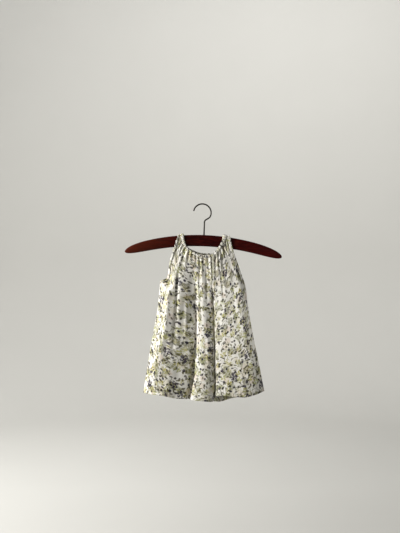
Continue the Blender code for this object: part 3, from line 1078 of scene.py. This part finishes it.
# Shape, spacing, half length, half width and blur in millimetres, chance, strength, two tints.
PRINT = (
    ("blossom", 30, 9.5, 3, 3, 0.60, 0.50, DUSTY_PINK, SAND),
    ("blossom", 27, 8.5, 3, 3, 0.50, 0.45, SOFT_GREEN, SAND),
    ("cluster", 26, 8.5, 3.5, 1, 0.65, 0.88, YELLOW_OLIVE, SOFT_GREEN),
    ("cluster", 21, 7, 3, 1.6, 0.55, 0.70, YELLOW_OLIVE, GREY_GREEN),
    ("sprig", 27, 9, 3.4, 0.4, 0.60, 0.85, OLIVE, GREY_GREEN),
    ("leaf", 13.5, 5, 2, 0.4, 0.55, 0.92, OLIVE, BARK),
    ("stem", 17, 7, 0.7, 0.4, 0.75, 0.90, BARK, OLIVE),
    ("leaf", 14, 4.4, 2, 0.4, 0.50, 1, BARK, BARK),
    ("berry", 17, 3, 0, 0.4, 0.38, 1, NAVY, BARK),
    ("berry", 23, 3.4, 0, 0.4, 0.38, 1, NAVY, PLUM),
    ("cluster", 62, 11, 4, 0.8, 0.60, 1, NAVY, PLUM),
)


def printed(graph, place, ground):
    """The print over the ground colour, one motif layer on another, denser towards the hem."""
    wander = (graph.noise(place, WANDER_SCALE, 1.0) - 0.5) * EDGE_WANDER
    wash = (graph.noise(place, WASH_SCALE, 3.0, 0.6) * 0.9 + 0.42).math("MINIMUM", 1.0)
    _, down, _ = graph.parts(place)
    towards_hem = (down * -1.0 - DENSER_FROM).ramp(DENSER_SLOPE)
    colour = ground
    for seed, row in enumerate(PRINT, start=1):
        shape, spacing, length, width, blur, chance, strength, tint_a, tint_b = row
        local, tint, there = strewn(graph, place, spacing * MM, seed)
        inside = SHAPES[shape](graph, local, length * MM, width * MM) + wander
        kept = there.math("LESS_THAN", towards_hem * (chance * DENSER_BY) + chance)
        mask = soft_edge(inside, blur * MM) * kept * (wash * strength)
        colour = graph.mix(mask, colour, graph.mix(tint, tint_a, tint_b))
    return colour


print("motif layers:", len(PRINT))

# %% [markdown]
# Cloth finishes
#
# Cotton lawn is matt, with a faint sheen where it bends and a weave finer than a millimetre.
# The weave and the soft crumple are bumps on the flat-cloth UVs, so they follow the folds. The
# wrong side shows the print through the cloth, paler. Only the sewing thread is plain.

# %% Make the cloth materials
THREADS_A_METRE = 2400.0
THREAD_WHITE = (0.84, 0.83, 0.78)


def weave(graph, place):
    u, v, _ = graph.parts(place)
    across = (u * (THREADS_A_METRE * math.pi)).math("SINE")
    down = (v * (THREADS_A_METRE * math.pi)).math("SINE")
    return across * down * 0.5 + 0.5


def cotton(name, print_strength, ground=OFF_WHITE):
    graph = Graph(name, Sheen_Weight=0.18, Sheen_Roughness=0.45, Specular_IOR_Level=0.25)
    place = graph.cloth_place()
    slub = graph.noise(place, 60.0, 3.0)
    base = graph.mix(slub, ground, tuple(value * 0.94 for value in ground))
    if print_strength:
        base = graph.mix(print_strength, base, printed(graph, place, base))
    crumple = graph.noise(place, 130.0, 4.0, 0.6)
    graph.shade(Base_Color=base, Roughness=0.80 + slub * 0.14)
    graph.bump((weave(graph, place), 0.00006, 0.35), (crumple, 0.0006, 0.35))
    return graph.material


right_side = cotton("printed cotton", 1.0)
wrong_side = cotton("printed cotton wrong side", 0.45)
thread = cotton("cotton thread", 0.0, THREAD_WHITE)
print("cloth materials:", right_side.name, wrong_side.name, thread.name)

# %% [markdown]
# Varnished wood and dull steel
#
# The bar is stained a dark red-brown and varnished, rubbed thin in patches and ruddier at the
# right. Its left end is lighter: painted light, where the light from the left falls. Grain is
# noise stretched along the bar. The hook is steel wire gone dull, so it is a metal with a broken
# roughness and a few darker patches.

# %% Make the hanger's materials
STAIN_DARK = (0.017, 0.0010, 0.0008)
STAIN_RED = (0.056, 0.0032, 0.0016)
# Worn wood; the same colour is also the painted light on the bar's left end.
STAIN_WORN_AND_LIT = (0.115, 0.022, 0.008)
STAIN_RUDDY = (0.090, 0.003, 0.003)
STEEL = (0.060, 0.057, 0.050)
TARNISH = (0.022, 0.020, 0.016)


def varnished_wood():
    graph = Graph("varnished wood", Coat_Roughness=0.30, Specular_IOR_Level=0.06)
    place = graph.object_place()
    stretched = graph.vector("MULTIPLY", place, (7.0, 60.0, 60.0))
    figure = graph.noise(stretched, 2.2, 5.0, 0.6)
    fine = graph.noise(graph.vector("MULTIPLY", place, (40.0, 900.0, 900.0)), 1.0, 2.0)
    rings = (figure * 34.0).math("SINE") * 0.5 + 0.5
    stain = graph.mix(rings * 0.65, STAIN_DARK, STAIN_RED)
    stain = graph.mix(fine.math("GREATER_THAN", 0.62) * 0.45, stain, STAIN_DARK)
    worn = (graph.noise(place, 38.0, 4.0, 0.65) - 0.56).ramp(5.0)
    along, _, _ = graph.parts(place)
    # Painted light: the bar's left end is made lighter, where the light from the left falls.
    painted_lit_left_end = (-2.2 * along - 0.10).ramp(2.6)
    # The worn patches are real wear; the lighter left end is painted light.
    stain = graph.mix((worn * 0.4).math("MAXIMUM", painted_lit_left_end * 0.6), stain, STAIN_WORN_AND_LIT)
    stain = graph.mix((along * 4.0 - 0.20).ramp(1.0) * 0.6, stain, STAIN_RUDDY)
    roughness = worn * 0.2 + fine * 0.12 + 0.38
    graph.shade(Base_Color=stain, Roughness=roughness, Coat_Weight=0.04 - worn * 0.03)
    graph.bump((fine, 0.00008, 0.5), (figure, 0.0005, 0.25))
    return graph.material


def dull_steel():
    graph = Graph("dull steel", Metallic=1.0)
    place = graph.object_place()
    patches = (graph.noise(place, 120.0, 4.0, 0.6) - 0.42).ramp(4.0)
    scratches = graph.noise(graph.vector("MULTIPLY", place, (900.0, 900.0, 160.0)), 1.0, 2.0)
    colour = graph.mix(patches * 0.8, STEEL, TARNISH)
    graph.shade(Base_Color=colour, Roughness=patches * 0.2 + scratches * 0.15 + 0.36)
    graph.bump((scratches, 0.00004, 0.4))
    return graph.material


wood, steel = varnished_wood(), dull_steel()
print("hanger materials:", wood.name, steel.name)

# %% Give every piece its finish
for cloth in cloths:
    cloth.data.materials.append(right_side)
    cloth.data.materials.append(wrong_side)
for casing in casings:
    casing.data.materials.append(right_side)
for binding in bindings:
    binding.data.materials.append(right_side)
for seam in stitching:
    seam.data.materials.append(thread)
bar.data.materials.append(wood)
hook.data.materials.append(steel)
print("pieces with a finish:", len(cloths + casings + bindings + stitching) + 2)

# %% [markdown]
# The edging of each panel
#
# For each side, the bindings and stitches that edge its panel are gathered into a list. The
# panels are narrower at the neck, with the armholes taken out, so their flat area is less than
# the rectangle's.

for side, cloth, casing in zip(PANELS, cloths, casings):
    edging = [piece for piece in bindings + stitching if piece.name.endswith(side)]
    print("panel and casing declared:", side)

# %% [markdown]
# Floor, light and camera
#
# The stage is a pale round floor that sweeps up into a pale round wall, far enough away that it
# never comes between the dress and a camera. Its paper is darker in front, to throw less light
# back. A large soft light stands to the left and a little in front, as in the photograph, so
# that the folds' right flanks fall into shade. One more grazes the back, one lights the wall,
# and a small one lifts the right hem. The camera looks straight on, and its place comes from
# the photograph's frame.

# %% Build the stage
FLOOR_Z = -1.05
ROOM_RADIUS = 3.2
SWEEP_RADIUS = 1.0
WALL_TOP = 3.6
ROOM_SIDES, SWEEP_STEPS = 72, 12
PINHOLE = 0.0002
FRONT_PAPER = (0.34, 0.337, 0.32)
BACK_PAPER, BACK_PAPER_GRAIN = (0.54, 0.537, 0.515), (0.52, 0.517, 0.495)


def sweep_room():
    profile = [(PINHOLE, FLOOR_Z), (ROOM_RADIUS - SWEEP_RADIUS, FLOOR_Z)]
    for i in range(1, SWEEP_STEPS + 1):
        angle = math.pi / 2 * i / SWEEP_STEPS
        out = ROOM_RADIUS - SWEEP_RADIUS * (1 - math.sin(angle))
        profile.append((out, FLOOR_Z + SWEEP_RADIUS * (1 - math.cos(angle))))
    profile.append((ROOM_RADIUS, WALL_TOP))
    round_room = [(math.cos(angle), math.sin(angle)) for angle in turns(ROOM_SIDES)]
    rows = [[(out * x, out * y, z) for x, y in round_room] for out, z in profile]
    room = skinned("floor_and_wall", rows, closed=True)
    graph = Graph("pale paper", Roughness=0.9, Specular_IOR_Level=0.1)
    grain = graph.noise(graph.object_place(), 3.0, 3.0)
    _, behind, _ = graph.parts(graph.object_place())
    paper = graph.mix(grain, BACK_PAPER, BACK_PAPER_GRAIN)
    graph.shade(Base_Color=graph.mix((behind * 0.5 + 0.5).ramp(1.0), FRONT_PAPER, paper))
    room.data.materials.append(graph.material)


sweep_room()
print("floor at, mm:", FLOOR_Z / MM)

# %% Set the lights
MIDDLE = (0.0, 0.0, -0.25)
# Name, place, aim, size, watts, spread in degrees and colour.
LAMPS = (
    ("window_left", (-2.12, -0.82, 0.60), MIDDLE, 0.8, 92.0, 180, (1.0, 0.985, 0.96)),
    ("backdrop_light", (0.6, 1.0, 2.2), (-0.9, 3.2, 0.7), 1.2, 52.0, 180, (1.0, 0.99, 0.975)),
    ("window_behind_left", (-2.3, 0.6, 0.55), MIDDLE, 0.8, 46.0, 180, (1.0, 0.99, 0.97)),
    ("reflector_right", (0.45, -1.6, 0.1), (0.135, 0.0, -0.3), 0.12, 0.046, 12, (1.0, 0.99, 0.97)),
)
SKY, SKY_STRENGTH = (0.88, 0.87, 0.85, 1.0), 0.22


def soft_light(name, place, target, size, watts, spread, colour):
    data = bpy.data.lights.new(name, "AREA")
    data.shape = "SQUARE"
    data.size = size
    data.spread = math.radians(spread)
    data.energy = watts
    data.color = colour
    light = bpy.data.objects.new(name, data)
    light.location = place
    light.rotation_euler = (Vector(target) - Vector(place)).to_track_quat("-Z", "Y").to_euler()
    light.visible_camera = False
    scene.collection.objects.link(light)


for lamp in LAMPS:
    soft_light(*lamp)
world = bpy.data.worlds.new("pale room")
world.use_nodes = True
background = world.node_tree.nodes["Background"].inputs
background["Color"].default_value = SKY
background["Strength"].default_value = SKY_STRENGTH
scene.world = world
scene.view_settings.view_transform = "Standard"
print("lamps:", ", ".join(lamp[0] for lamp in LAMPS))

# %% Aim the camera
PHOTO_WIDTH, PHOTO_HEIGHT = 400, 533
PIXEL = 2.42 * MM
PEG_COLUMN, PEG_ROW = 202.6, 204.65
CAMERA_DISTANCE = 1.5

lens = bpy.data.cameras.new("camera")
lens.sensor_fit = "HORIZONTAL"
lens.sensor_width = 36.0
lens.lens = lens.sensor_width * CAMERA_DISTANCE / (PHOTO_WIDTH * PIXEL)
lens.clip_start, lens.clip_end = 0.05, 30.0
camera = bpy.data.objects.new("camera", lens)
camera.location = (
    (PHOTO_WIDTH / 2 - PEG_COLUMN) * PIXEL,
    -CAMERA_DISTANCE,
    -(PHOTO_HEIGHT / 2 - PEG_ROW) * PIXEL,
)
camera.rotation_euler = (math.radians(90), 0, 0)
scene.collection.objects.link(camera)
scene.camera = camera
print("lens, mm:", round(lens.lens, 1))
